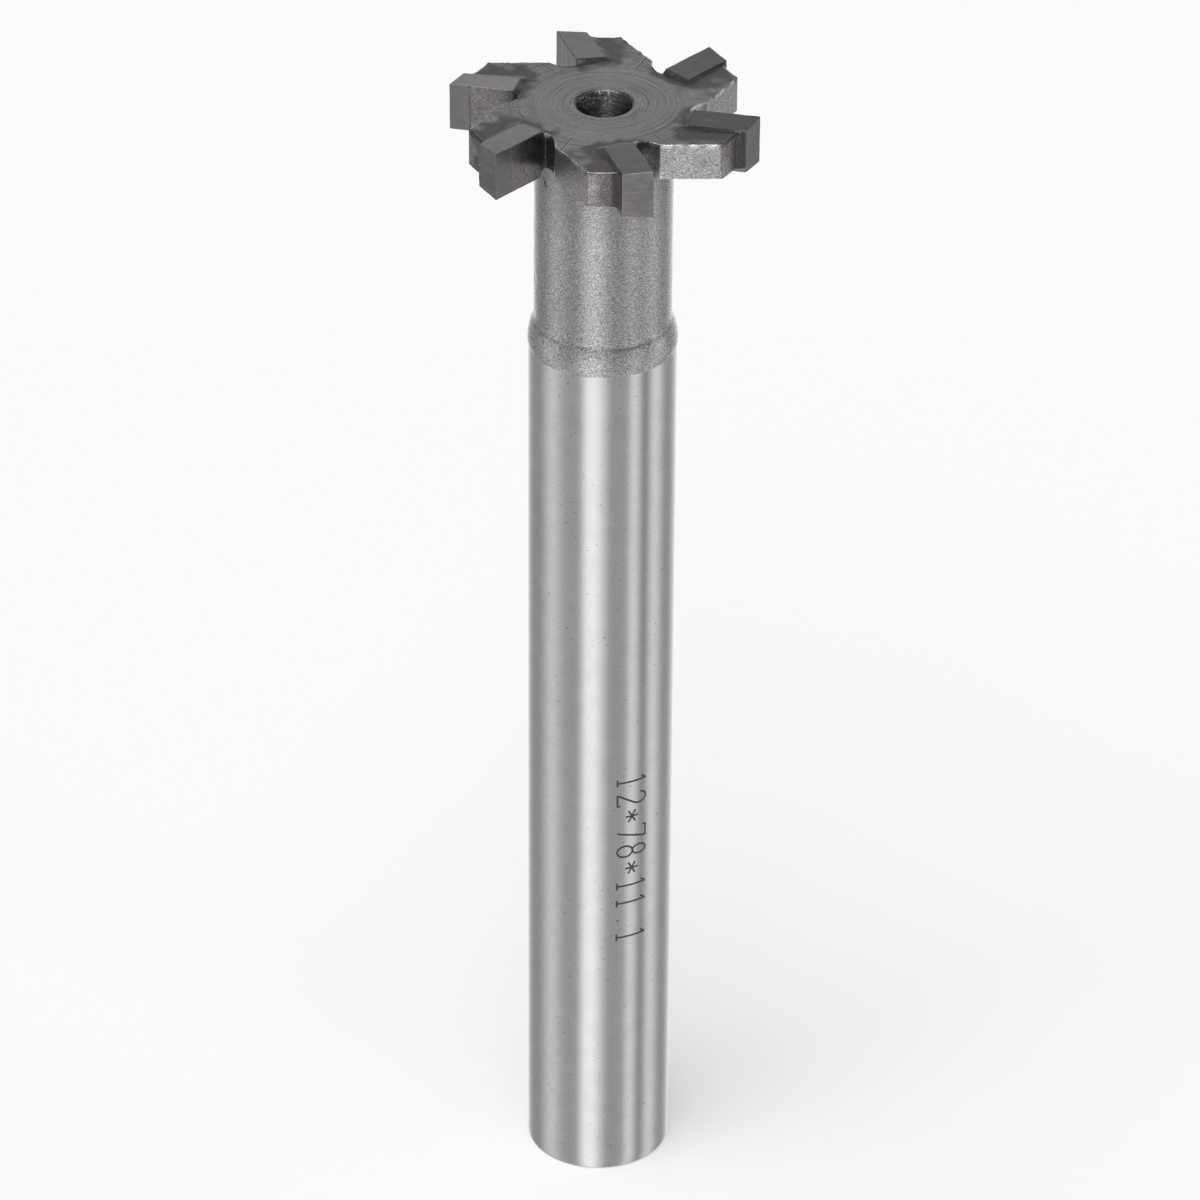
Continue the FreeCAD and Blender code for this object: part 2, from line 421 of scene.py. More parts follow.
GROUND, BLASTED, TURNED, DRILLED = range(4)
AROUND = 256
circle = np.exp(2j * np.pi * np.arange(AROUND) / AROUND)

GUARD_WIDTH = 0.16
PILOT_RADIUS = 1.0
PILOT_LENGTH = 2.0
DRILL_POINT = 0.6
END_HOLE_MOUTH = 2.0
HEAD_HOLE_MOUTH = 2.25


def centre_hole(face_z, mouth, sign):
    """Profile of a centre hole from its mouth to its point, as (radius, z) rows.

    A shallow guard chamfer, the 60 degree cone, the pilot hole and its drill point. sign is the
    way it goes along Z."""
    guard = mouth + GUARD_WIDTH
    guard_end = GUARD_WIDTH / math.tan(math.radians(60))
    cone_end = guard_end + (mouth - PILOT_RADIUS) / math.tan(math.radians(30))
    pilot_end = cone_end + PILOT_LENGTH
    rows = [(guard + 0.05, 0), (guard, 0.004), (guard - 0.03, 0.02), (mouth + 0.02, guard_end - 0.012),
            (mouth - 0.01, guard_end + 0.02)]
    rows += [(mouth - (mouth - PILOT_RADIUS) * t, guard_end + (cone_end - guard_end) * t)
             for t in np.linspace(0.06, 1, 14)]
    rows += [(PILOT_RADIUS, cone_end + PILOT_LENGTH * t) for t in np.linspace(0.05, 1, 8)]
    rows += [(PILOT_RADIUS / 2, pilot_end + DRILL_POINT / 2), (0, pilot_end + DRILL_POINT)]
    return [(r, face_z + sign * depth) for r, depth in rows]


COLLAR_RADIUS = 6.07
COLLAR_WIDEST = 78.8
COLLAR_RUN = 2.0
CREASE = 80.6
CREASE_DEPTH = 0.03
CREASE_WIDTH = 0.09


def collar_row(t):
    """The collar's (radius, z) at t, from 0 where it is widest to 1 at the neck: the radius falls
    by 0.02 t plus 0.48 t squared, and by a bell-shaped crease where the blasting ends."""
    z = COLLAR_WIDEST + COLLAR_RUN * t
    crease = CREASE_DEPTH * math.exp(-((z - CREASE) / CREASE_WIDTH) ** 2)
    return COLLAR_RADIUS - 0.02 * t - 0.48 * t * t - crease, z


end_hole = centre_hole(0, END_HOLE_MOUTH, 1)[::-1]
shank_rows = [(r, 0) for r in np.linspace(2.6, SHANK_RADIUS - SHANK_CHAMFER - 0.05, 12)]
shank_rows += [
    (SHANK_RADIUS - SHANK_CHAMFER * (1 - math.sin(t)), SHANK_CHAMFER * (1 - math.cos(t)))
    for t in np.radians(np.linspace(0, 90, 7))]
shank_rows += [(SHANK_RADIUS, z) for z in np.linspace(1, SHANK_TOP - 0.5, 24)]
shank_rows += [(SHANK_RADIUS, SHANK_TOP - below) for below in (0.25, 0.04, 0)]
collar_rows = [(SHANK_RADIUS + 0.01, SHANK_TOP + 0.02), (COLLAR_RADIUS - 0.035, SHANK_TOP + 0.1),
               (COLLAR_RADIUS - 0.01, SHANK_TOP + 0.24), (COLLAR_RADIUS, COLLAR_WIDEST)]
collar_rows += [collar_row(t) for t in np.linspace(0.06, 1, 40)]
neck_rows = [(NECK_RADIUS + 0.01, NECK_START - 0.08), (NECK_RADIUS - 0.01, NECK_START + 0.05)]
neck_end = HEAD_BOTTOM - NECK_FILLET
neck_rows += [(NECK_RADIUS, z) for z in np.linspace(NECK_START + 0.2, neck_end - 0.02, 96)]
fillet_rows = [
    (NECK_RADIUS + NECK_FILLET * (1 - math.cos(t)), neck_end + NECK_FILLET * math.sin(t))
    for t in np.radians(np.linspace(0, 90, 6))]
lower_rows = end_hole + shank_rows + collar_rows + neck_rows + fillet_rows
lower_points = revolved(lower_rows, AROUND)
blast_from = len(end_hole + shank_rows)
row = np.arange(len(lower_rows))
DENT_DEPTH = 0.003
dented_rows = (row >= blast_from) & (row < len(lower_rows) - len(fillet_rows))
dent = DENT_DEPTH * ripple(lower_points, 1.5, 3)
radius = np.hypot(lower_points[:, 0], lower_points[:, 1])
dent = np.where(np.repeat(dented_rows, AROUND), dent, 0)
lower_points[:, :2] *= (1 + dent / np.maximum(radius, 1))[:, None]
near_edge = np.exp(-((lower_points[:, 2] - SHANK_TOP) / 0.12) ** 2)
lower_points[:, 2] += near_edge * (0.06 * ripple(lower_points, 0.8, 5) - 0.1)


def way_round(points, bearing):
    """How far round the neck each point lies from a bearing in degrees, in millimetres."""
    turned = (points[:, 0] + 1j * points[:, 1]) * np.exp(-1j * math.radians(bearing))
    return np.angle(turned) * NECK_RADIUS


def nicked(points, bearing, z, across, up, depth):
    """Points with a hollow pressed towards the axis, bell-shaped in both directions."""
    reach = np.exp(-(way_round(points, bearing) / across) ** 2 - ((points[:, 2] - z) / up) ** 2)
    pressed = points.copy()
    pressed[:, :2] *= (1 - reach * depth / NECK_RADIUS)[:, None]
    return pressed


# The nicks in the neck, each by bearing, height, half width across and up, and depth.
NICKS = [(196, 91.0, 0.5, 0.9, 0.07), (192, 87.6, 0.35, 0.5, 0.06), (203, 84.6, 0.4, 0.35, 0.07),
         (228, 89.6, 0.12, 0.5, 0.05), (222, 88.3, 0.1, 0.4, 0.05), (20, 86.0, 0.5, 1.2, 0.05)]
for nick in NICKS:
    lower_points = nicked(lower_points, *nick)
lower_faces = grid_faces(len(lower_rows), AROUND)
lower_places = np.full(len(lower_rows) - 1, GROUND)
lower_places[:len(end_hole) - 1] = DRILLED
lower_places[blast_from - 1:] = BLASTED

hole_rows = centre_hole(HEAD_TOP, HEAD_HOLE_MOUTH, -1)
hole_points = revolved(hole_rows, AROUND)
hole_faces = grid_faces(len(hole_rows), AROUND)
hole_places = np.where(np.arange(len(hole_rows) - 1) < 4, TURNED, DRILLED)
top_points, top_faces = flat_ring(rings[-1][0], hole_rows[0][0] * circle, HEAD_TOP, spacing=0.25)
under_points, under_faces = flat_ring(rings[0][0], fillet_rows[-1][0] * circle, HEAD_BOTTOM, spacing=0.4)

wall_faces = grid_faces(len(rings), len(outline))
blocks = [
    (lower_points, lower_faces, np.repeat(lower_places, AROUND)),
    (under_points, under_faces[:, ::-1], np.full(len(under_faces), BLASTED)),
    (wall_points, wall_faces, np.full(len(wall_faces), BLASTED)),
    (top_points, top_faces, np.full(len(top_faces), TURNED)),
    (hole_points, hole_faces, np.repeat(hole_places, AROUND)),
]
points, faces, places, first = [], [], [], 0
for block_points, block_faces, block_places in blocks:
    points.append(block_points)
    faces += (block_faces + first).tolist()
    places.append(block_places)
    first += len(block_points)
body = mesh_object("steel_body", np.concatenate(points), faces, np.concatenate(places))


def sew(piece, gap=1e-7, outwards=False):
    """Merges points that are less than a gap in metres apart, which closes the mesh.

    outwards then turns every face to look out of the piece."""
    shell = bmesh.new()
    shell.from_mesh(piece.data)
    bmesh.ops.remove_doubles(shell, verts=shell.verts, dist=gap)
    if outwards:
        bmesh.ops.recalc_face_normals(shell, faces=shell.faces)
    shell.to_mesh(piece.data)
    shell.free()
    piece.data.shade_smooth()


def mesh_points(piece):
    """A piece's points in millimetres, one row each."""
    flat = np.empty(len(piece.data.vertices) * 3, np.float32)
    piece.data.vertices.foreach_get("co", flat)
    return flat.reshape(-1, 3).astype(float) / MM


def store(piece, name, values):
    """Gives each point of a piece a number, or a vector, that its material reads by name."""
    kind, field = ("FLOAT", "value") if values.ndim == 1 else ("FLOAT_VECTOR", "vector")
    layer = piece.data.attributes.new(name, kind, "POINT")
    layer.data.foreach_set(field, values.astype(np.float32).ravel())


def tooth_places(points, number):
    """Points in one tooth's own frame: out along its tip's front face, ahead of it, and up."""
    plan = at_tooth(points[:, 0] + 1j * points[:, 1], -number)
    return plan.real, plan.imag, points[:, 2]


def nearest_of_teeth(points, distance):
    """The least over the six teeth of a distance worked out in each tooth's frame."""
    each = [distance(*tooth_places(points, number)) for number in range(TOOTH_COUNT)]
    return np.min(each, axis=0)


def from_tip(out, ahead, up):
    """Distance in plan from the rectangle that a tip covers. The heat ran furthest behind the tip,
    over the head's top and the land."""
    open_face = (up > HEAD_TOP - 0.3) | (np.hypot(out, ahead) > LAND_RADIUS - 0.2)
    behind = np.where(open_face, 0.52, 0.8) * np.maximum(TIP_BACK - ahead, 0)
    return np.hypot(1.05 * np.maximum(TIP_INNER - out, 0), np.maximum(ahead, behind))


def from_pocket(out, ahead, up):
    """Distance in plan from the corner between a tip and the pocket in front of it."""
    return np.hypot(out - TIP_INNER - 0.2, ahead - 0.25)


# What the steel's finishes read at each point: the heat's tint round the tips, with painted shade on the
# rim's top edge; painted shade with some burnt flux in the corner at each tip's foot, and painted shade
# for one gouge in the neck; the burr, bright worn metal with a painted highlight, at the top edge of the
# turned face; the collar's crease line; the painted shade under the head, which fades down the neck
# and leaves the collar lighter; and the chamfer of the head's hole.
SCAR_BEARING = 226
SCAR_HEIGHT = 94.2
sew(body)
here = mesh_points(body)
worn = 1 + 0.3 * ripple(here, 1.3, 21)
at_head = np.clip(1 - (HEAD_BOTTOM - here[:, 2]) / 1.5, 0, 1)
from_middle = np.hypot(here[:, 0], here[:, 1])
# The rim's top edge gets painted shade, added to the heat's tint, which hides the highlight it would
# catch.
rim_edge = np.clip((from_middle - LAND_RADIUS + 0.3) / 0.1, 0, 1) * (here[:, 2] > HEAD_TOP - 0.35)
scorch = np.exp(-(nearest_of_teeth(here, from_tip) / (1.25 * worn)) ** 2)
store(body, "scorch", at_head * np.maximum(scorch, 0.8 * rim_edge))
# Painted shade for a gouge in the neck, and painted shade with some burnt flux in the corner at each
# tip's foot.
scar_way = way_round(here, SCAR_BEARING)
scar_up = here[:, 2] - SCAR_HEIGHT
scar = np.exp(-((scar_way + 0.4 * scar_up) / 0.14) ** 2 - (scar_up / 0.45) ** 2)
soot = at_head * np.exp(-(nearest_of_teeth(here, from_pocket) / (1.15 * worn)) ** 2)
store(body, "soot", np.maximum(soot, scar))
# The top edge of the wall is bright: worn metal, with a painted highlight on it.
edge_height = np.abs(here[:, 2] - HEAD_TOP + 0.02)
on_edge = (edge_height < 0.07) & (np.abs(here[:, 2] - HEAD_TOP) > 0.002)
bright = np.clip(0.35 + ripple(here, 1.0, 11), 0, 1)
away_from_heat = np.clip(nearest_of_teeth(here, from_tip) / 0.8, 0.15, 1)
store(body, "burr", on_edge * bright * away_from_heat * (1 - rim_edge))
crease = np.exp(-((here[:, 2] - CREASE + 0.05 * ripple(here, 1.5, 22)) / 0.13) ** 2)
store(body, "crease", crease * np.clip(0.30 + 0.22 * ripple(here, 3.0, 23), 0.08, 1))
# Painted shade under the head, fading down the neck; the collar below is left lighter, as if lit.
below_head = np.clip((HEAD_BOTTOM - here[:, 2]) / 7, 0, 1)
clean = 0.7 * below_head + 0.3 * np.clip((NECK_START + 0.3 - here[:, 2]) / 0.6, 0, 1)
store(body, "clean", np.where(here[:, 2] > HEAD_BOTTOM - 0.05, 0.95, clean))
in_mouth = from_middle < HEAD_HOLE_MOUTH + GUARD_WIDTH + 0.01
chamfer = in_mouth & (here[:, 2] > HEAD_TOP - 0.3)
store(body, "mouth", chamfer.astype(float))
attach(body, "root")
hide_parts("cutter_body")


def finish_material(name):
    """A new material: its tree, its output node and the object coordinates in metres."""
    made = bpy.data.materials.new(name)
    tree, output = blank_tree(made)
    place = node(tree, "ShaderNodeTexCoord").outputs["Object"]
    return made, tree, output, place


def stored(tree, name, output="Fac"):
    """What a piece stores at each point under that name."""
    return node(tree, "ShaderNodeAttribute", attribute_name=name).outputs[output]


def grain(tree, place, size, stretch=(1, 1, 1), detail=3.0, roughness=0.5, swirl=0.0, turned=0):
    """Noise from 0 to 1 with grains of about that size in millimetres, stretched along the axes.

    turned is how far the axes are turned about Z, in degrees."""
    moved = node(tree, "ShaderNodeMapping", {
        "Vector": place, "Scale": tuple(size * MM * s for s in stretch),
        "Rotation": (0, 0, math.radians(turned))}, vector_type="TEXTURE").outputs[0]
    return node(tree, "ShaderNodeTexNoise", {
        "Vector": moved, "Scale": 1.0, "Detail": detail, "Roughness": roughness,
        "Distortion": swirl}).outputs["Fac"]


def metal(tree, output, colour, roughness, normal, anisotropy=0.0, rotation=0.0):
    """A metal surface with that colour and roughness, each a socket or a constant.

    anisotropy draws its glints out round the axis, turned by rotation as a share of a full turn."""
    shader = node(tree, "ShaderNodeBsdfPrincipled", {
        "Base Color": colour, "Metallic": 1.0, "Roughness": roughness, "Normal": normal,
        "Anisotropic": anisotropy, "Anisotropic Rotation": rotation})
    if anisotropy:
        tangent = node(tree, "ShaderNodeTangent", direction_type="RADIAL", axis="Z")
        tree.links.new(tangent.outputs[0], shader.inputs["Tangent"])
    tree.links.new(shader.outputs[0], output.inputs["Surface"])


def bump(tree, height, depth, normal=None):
    """A bump of that depth in millimetres from a height of 0 to 1."""
    inputs = {"Height": height, "Distance": depth * MM, "Strength": 1.0}
    if normal is not None:
        inputs["Normal"] = normal
    return node(tree, "ShaderNodeBump", inputs).outputs[0]


# The ground shank: fine lines round it, a faint patchiness and a few dark specks.
ground, tree, output, place = finish_material("ground_steel")
lines = grain(tree, place, 0.07, (12, 12, 1), 2.0)
patches = grain(tree, place, 1.6, detail=3.0)
colour = ramp(tree, patches, [(0.3, 0.585), (0.7, (0.63, 0.628, 0.622))])
specks = ramp(tree, grain(tree, place, 0.22, (1.6, 1.6, 1), 1.0), [(0.72, 0), (0.76, 1)])
colour = mixed(tree, specks, colour, (0.34, 0.33, 0.32))
roughness = ramp(tree, lines, [(0.3, 0.25), (0.7, 0.31)])
metal(tree, output, colour, roughness, bump(tree, lines, 0.0022), anisotropy=0.9, rotation=0.25)

# The blasted neck and gullets: a coarse grain of light and dark dimples, with pits, painted shade
# under the head and in the corners at the tips' feet, and burnt flux in those corners.
blasted, tree, output, place = finish_material("blasted_steel")
shot = grain(tree, place, 0.075, (1.9, 1.9, 0.75), 2.0, 0.55, 0.8)
cloud = grain(tree, place, 0.8, detail=3.0, roughness=0.6)
colour = ramp(tree, shot, [
    (0.33, (0.16, 0.154, 0.154)), (0.48, (0.415, 0.404, 0.403)), (0.68, (0.82, 0.806, 0.802))])
# Painted shade under the head, fading down the neck and leaving the collar lighter.
painted_shade = ramp(tree, stored(tree, "clean"), [(0.0, 0.80), (0.30, 0.42), (0.7, 0.16), (1.0, 0)])
colour = mixed(tree, painted_shade, colour, (0.20, 0.19, 0.19))
pits = grain(tree, place, 0.2, detail=1.0)
colour = mixed(tree, ramp(tree, pits, [(0.70, 0), (0.74, 0.7)]), colour, (0.14, 0.13, 0.13))
speck = grain(tree, place, 0.14, detail=2.0, roughness=0.6)
patchy = maths(tree, "MULTIPLY_ADD", cloud, 1.0, maths(tree, "MULTIPLY_ADD", speck, 1.6, -0.35))
# The heat's tint round the tips, with painted shade on the rim's top edge.
scorch = times(tree, stored(tree, "scorch"), patchy)
colour = mixed(tree, ramp(tree, scorch, [(0.05, 0), (0.85, 0.9)]), colour, (0.115, 0.10, 0.095))
# Painted shade with some burnt flux in the corner at each tip's foot, and painted shade at the gouge in
# the neck. Both are rougher.
soot = times(tree, stored(tree, "soot"), patchy)
colour = mixed(tree, ramp(tree, soot, [(0.1, 0), (0.7, 0.85)]), colour, (0.05, 0.045, 0.045))
crease = times(tree, stored(tree, "crease"), ramp(tree, cloud, [(0.35, 0.35), (0.65, 0.9)]))
colour = mixed(tree, crease, colour, (0.10, 0.092, 0.088))
# The bright top edge: worn metal with a painted highlight.
colour = mixed(tree, stored(tree, "burr"), colour, (0.85, 0.84, 0.83))
roughness = ramp(tree, soot, [(0.1, 0.25), (0.7, 0.62)])
metal(tree, output, colour, roughness, bump(tree, shot, 0.018))


def from_axis(tree, place):
    """Distance from the cutter's axis in millimetres, and the unit vector away from it."""
    flat = node(tree, "ShaderNodeVectorMath", {0: place, 1: (1, 1, 0)}, operation="MULTIPLY").outputs[0]
    metres = node(tree, "ShaderNodeVectorMath", {0: flat}, operation="LENGTH").outputs["Value"]
    away = node(tree, "ShaderNodeVectorMath", {0: flat}, operation="NORMALIZE").outputs[0]
    return maths(tree, "DIVIDE", metres, MM), away


ARC_RADIUS = 7


def rings_about_axis(tree, place, width, length):
    """Noise drawn out along circles about the axis, in arcs of about that width and length in
    millimetres, the length at ARC_RADIUS from the axis."""
    reach, away = from_axis(tree, place)
    scale = {0: away, "Scale": ARC_RADIUS / length}
    spread = node(tree, "ShaderNodeVectorMath", scale, operation="SCALE").outputs[0]
    out = node(tree, "ShaderNodeCombineXYZ", {"Z": maths(tree, "DIVIDE", reach, width)}).outputs[0]
    pattern = node(tree, "ShaderNodeVectorMath", {0: spread, 1: out}, operation="ADD").outputs[0]
    inputs = {"Vector": pattern, "Scale": 1.0, "Detail": 2.0, "Roughness": 0.6}
    return node(tree, "ShaderNodeTexNoise", inputs).outputs["Fac"]


def scribed(tree, place, bearing, inner, outer, width):
    """1 on six thin radial lines, and 0 elsewhere, between two radii."""
    axes = node(tree, "ShaderNodeSeparateXYZ", {0: place}).outputs
    reach, _ = from_axis(tree, place)
    angle = maths(tree, "SUBTRACT", maths(tree, "ARCTAN2", axes["Y"], axes["X"]), math.radians(bearing))
    off = maths(tree, "PINGPONG", maths(tree, "DIVIDE", angle, math.pi / 3), 0.5)
    off = times(tree, times(tree, off, math.pi / 3), reach)
    line = maths(tree, "LESS_THAN", off, width / 2)
    long = times(tree, maths(tree, "GREATER_THAN", reach, inner),
                 maths(tree, "LESS_THAN", reach, outer))
    return times(tree, line, long)


# The turned face of the head: the lathe's rings, scratches across them, and the six scribed lines,
# each with a painted highlight along one side.
turned, tree, output, place = finish_material("turned_steel")
reach, _ = from_axis(tree, place)
arcs = rings_about_axis(tree, place, 0.10, 9.0)
wide_arcs = rings_about_axis(tree, place, 0.22, 16.0)
dull = grain(tree, place, 0.9, detail=4.0, roughness=0.65)
colour = ramp(tree, arcs, [
    (0.30, 0.20), (0.45, 0.285), (0.70, (0.375, 0.375, 0.373))])
colour = mixed(tree, ramp(tree, wide_arcs, [(0.34, 0.7), (0.41, 0)]), colour, 0.13)
colour = mixed(tree, ramp(tree, dull, [(0.35, 0.3), (0.65, 0)]), colour, 0.19)
for size, way in ((0.07, 24), (0.08, 140)):
    scratch = grain(tree, place, size, (10, 1, 1), 1.0, turned=way)
    colour = mixed(tree, ramp(tree, scratch, [(0.64, 0), (0.72, 0.4)]), colour, 0.50)
near_hole = ramp(tree, maths(tree, "DIVIDE", reach, 10), [(0.24, 1), (0.34, 0)])
chatter = grain(tree, place, 0.10, detail=3.0, roughness=0.7)
torn = times(tree, near_hole, ramp(tree, chatter, [(0.5, 0), (0.62, 0.6)]))
colour = mixed(tree, torn, colour, 0.46)
pits = grain(tree, place, 0.15, detail=1.0)
pitted = maths(tree, "ADD", pits, times(tree, near_hole, 0.07))
colour = mixed(tree, ramp(tree, pitted, [(0.70, 0), (0.74, 0.85)]), colour, 0.045)
# The heat's tint round the tips, with painted shade on the rim's top edge.
scorch = times(tree, stored(tree, "scorch"), maths(tree, "MULTIPLY_ADD", dull, 1.8, 0.1))
colour = mixed(tree, ramp(tree, scorch, [(0.15, 0), (0.62, 0.95)]), colour, (0.108, 0.104, 0.102))
mouth = times(tree, stored(tree, "mouth"), ramp(tree, chatter, [(0.35, 0.95), (0.65, 0.2)]))
colour = mixed(tree, mouth, colour, (0.06, 0.057, 0.055))
scribed_line = scribed(tree, place, 19.0, 6.4, 8.9, 0.10)
colour = mixed(tree, scribed_line, colour, 0.10)
# A painted highlight along one side of each scribed line.
scribe_highlight = scribed(tree, place, 19.7, 6.6, 8.6, 0.06)
colour = mixed(tree, scribe_highlight, colour, 0.45)
relief = bump(tree, arcs, 0.010, bump(tree, dull, 0.015))
metal(tree, output, colour, 0.42, relief, anisotropy=0.4, rotation=0.25)

# The drilled holes: dark rough walls, with painted glints near the head's face, most on the far side.
drilled, tree, output, place = finish_material("drilled_steel")
axes = node(tree, "ShaderNodeSeparateXYZ", {0: place}).outputs
marks = grain(tree, place, 0.30, (1.6, 1.6, 0.6), detail=4.0, roughness=0.65)
colour = ramp(tree, marks, [
    (0.35, (0.05, 0.046, 0.044)), (0.6, (0.12, 0.113, 0.108)), (0.8, (0.22, 0.213, 0.207))])
glints = ramp(tree, grain(tree, place, 0.22, detail=2.0, roughness=0.6), [(0.56, 0), (0.64, 1)])
depth = maths(tree, "DIVIDE", maths(tree, "SUBTRACT", HEAD_TOP * MM, axes["Z"]), 4 * MM)
glints = times(tree, glints, ramp(tree, depth, [(0.05, 0.9), (0.30, 0)]))
to_back = maths(tree, "DIVIDE", maths(tree, "SUBTRACT", axes["Y"], axes["X"]), 4 * MM)
glints = times(tree, glints, ramp(tree, to_back, [(0.3, 0.15), (0.7, 1)]))
colour = mixed(tree, glints, colour, (0.75, 0.74, 0.73))
metal(tree, output, colour, 0.38, bump(tree, marks, 0.04))

for finish in (ground, blasted, turned, drilled):
    body.data.materials.append(finish)

# The six carbide tips: pressed and sintered blocks, ground on the top, the bottom, the outer end and
# a strip of the front along the cutting edge. The rest of the front is still rough from the press.
FLANK_RELIEF = 14.5
SIDE_RELIEF = 4.0
TIP_MIDDLE = (tip_low[2] + tip_high[2]) / 2
GROUND_STRIP = 1.7
STRIP_DEPTH = 0.02
TIP_EDGE = 0.055
TIP_STEP = 0.16
PRESSED_DEPTH = 0.012
tip_half = np.array([(tip_high[0] - TIP_INNER) / 2, -TIP_BACK / 2, (tip_high[2] - tip_low[2]) / 2])


def block_steps(half, extra=()):
    """Grid lines from -half to half, with more of them near both ends where the edge is rounded."""
    edge = np.array([0, 0.25, 0.5, 0.75, 1.0, 1.6]) * TIP_EDGE * 1.6
    flat = half - 4 * TIP_EDGE
    middle = np.linspace(-flat, flat, max(3, int(half * 2 / TIP_STEP)))
    return np.unique(np.concatenate([-half + edge, middle, np.array(extra, float), half - edge]))


def rounded_block(steps, radius):
    """A closed block with rounded edges, as points and quads.

    Each point of a box's surface is pulled to the box that is smaller by the radius, and pushed
    out by the radius again, along the line from that smaller box."""
    half = np.array([line[-1] for line in steps])
    points, faces, first = [], [], 0
    for axis in range(3):
        u, v = (axis + 1) % 3, (axis + 2) % 3
        for side in (-1, 1):
            grid = np.zeros((len(steps[u]), len(steps[v]), 3))
            grid[..., u], grid[..., v] = np.meshgrid(steps[u], steps[v], indexing="ij")
            grid[..., axis] = side * half[axis]
            quads = grid_faces(*grid.shape[:2], closed=False)
            faces.append((quads if side > 0 else quads[:, ::-1]) + first)
            points.append(grid.reshape(-1, 3))
            first += grid.shape[0] * grid.shape[1]
    surface = np.concatenate(points)
    size = radius(surface)[:, None]
    core = np.clip(surface, -half + size, half - size)
    away = surface - core
    length = np.linalg.norm(away, axis=1, keepdims=True)
    return core + size * away / length, np.concatenate(faces)[:, ::-1]


def tip_shape(number):
    """One tip in its tooth's frame: its points and quads.

    The block's outer end leans back by the flank relief and its top and bottom by the side
    relief, both from the front face at ahead = 0. The ground strip lies a little lower."""
    seed = 40 + number
    strip_at = tip_half[0] - GROUND_STRIP
    steps = [block_steps(tip_half[0], (strip_at - 0.06, strip_at - 0.02, strip_at + 0.02)),
             block_steps(tip_half[1]), block_steps(tip_half[2])]
    points, quads = rounded_block(
        steps, lambda at: TIP_EDGE * (1 + 0.35 * ripple(at, 0.9, seed)).clip(0.4, 1.6))
    share = (points + tip_half) / (2 * tip_half)
    ahead = TIP_BACK * (1 - share[:, 1])
    outer = tip_high[0] + ahead * math.tan(math.radians(FLANK_RELIEF))
    out = TIP_INNER + (outer - TIP_INNER) * share[:, 0]
    half_height = tip_half[2] + ahead * math.tan(math.radians(SIDE_RELIEF))
    up = TIP_MIDDLE + half_height * (2 * share[:, 2] - 1)
    pressed = np.clip((tip_high[0] - GROUND_STRIP - out) / 0.08 + 0.5, 0, 1)
    facing = np.clip((ahead + 0.12) / 0.1, 0, 1)
    rough = PRESSED_DEPTH * ripple(np.column_stack([out, ahead * 0, up]), 0.7, seed + 10)
    ahead = ahead - facing * (STRIP_DEPTH * (1 - pressed) - np.minimum(rough, 0) * pressed)
    return np.column_stack([out, ahead, up]), quads


carbide, tree, output, _ = finish_material("carbide")
place = stored(tree, "tooth", "Vector")
axes = node(tree, "ShaderNodeSeparateXYZ", {0: place}).outputs
front = stored(tree, "front")
marks = grain(tree, place, 0.07, (1, 9, 1), 2.0)
streaks = grain(tree, place, 0.12, (1, 1, 12), 2.0)
cloud = grain(tree, place, 0.9, detail=4.0, roughness=0.6)
colour = ramp(tree, cloud, [(0.3, 0.172), (0.7, (0.228, 0.226, 0.224))])
colour = mixed(tree, ramp(tree, marks, [(0.35, 0.18), (0.6, 0)]), colour, 0.15)
streaked = times(tree, front, ramp(tree, streaks, [(0.35, 0.3), (0.65, 0)]))
colour = mixed(tree, streaked, colour, 0.14)
bands = ramp(tree, grain(tree, place, 0.3, (1, 8, 1), 2.0), [(0.35, 0.15), (0.65, 0.5)])
colour = mixed(tree, times(tree, stored(tree, "flank"), bands), colour, (0.42, 0.385, 0.378))
colour = mixed(tree, times(tree, front, 0.3), colour, (0.10, 0.098, 0.098))
toward_edge = ramp(tree, maths(tree, "DIVIDE", axes["X"], 20 * MM), [(0.42, 0), (0.62, 0.25)])
colour = mixed(tree, toward_edge, colour, 0.12)
speckle = grain(tree, place, 0.16, detail=3.0, roughness=0.7)
rough_colour = ramp(tree, speckle, [
    (0.3, (0.105, 0.099, 0.096)), (0.5, (0.170, 0.162, 0.158)), (0.7, (0.275, 0.264, 0.258))])
frayed = maths(tree, "MULTIPLY_ADD", speckle, 1.0, maths(tree, "ADD", stored(tree, "rough"), -0.5))
rough = ramp(tree, frayed, [(0.35, 0), (0.65, 1)])
colour = mixed(tree, rough, colour, rough_colour)
# The tips' edges are drawn lighter: worn carbide with a painted highlight.
colour = mixed(tree, times(tree, stored(tree, "edge"), 0.55), colour, 0.55)
relief = mixed(tree, rough, marks, speckle)
metal(tree, output, colour, 0.30, bump(tree, relief, 0.008))

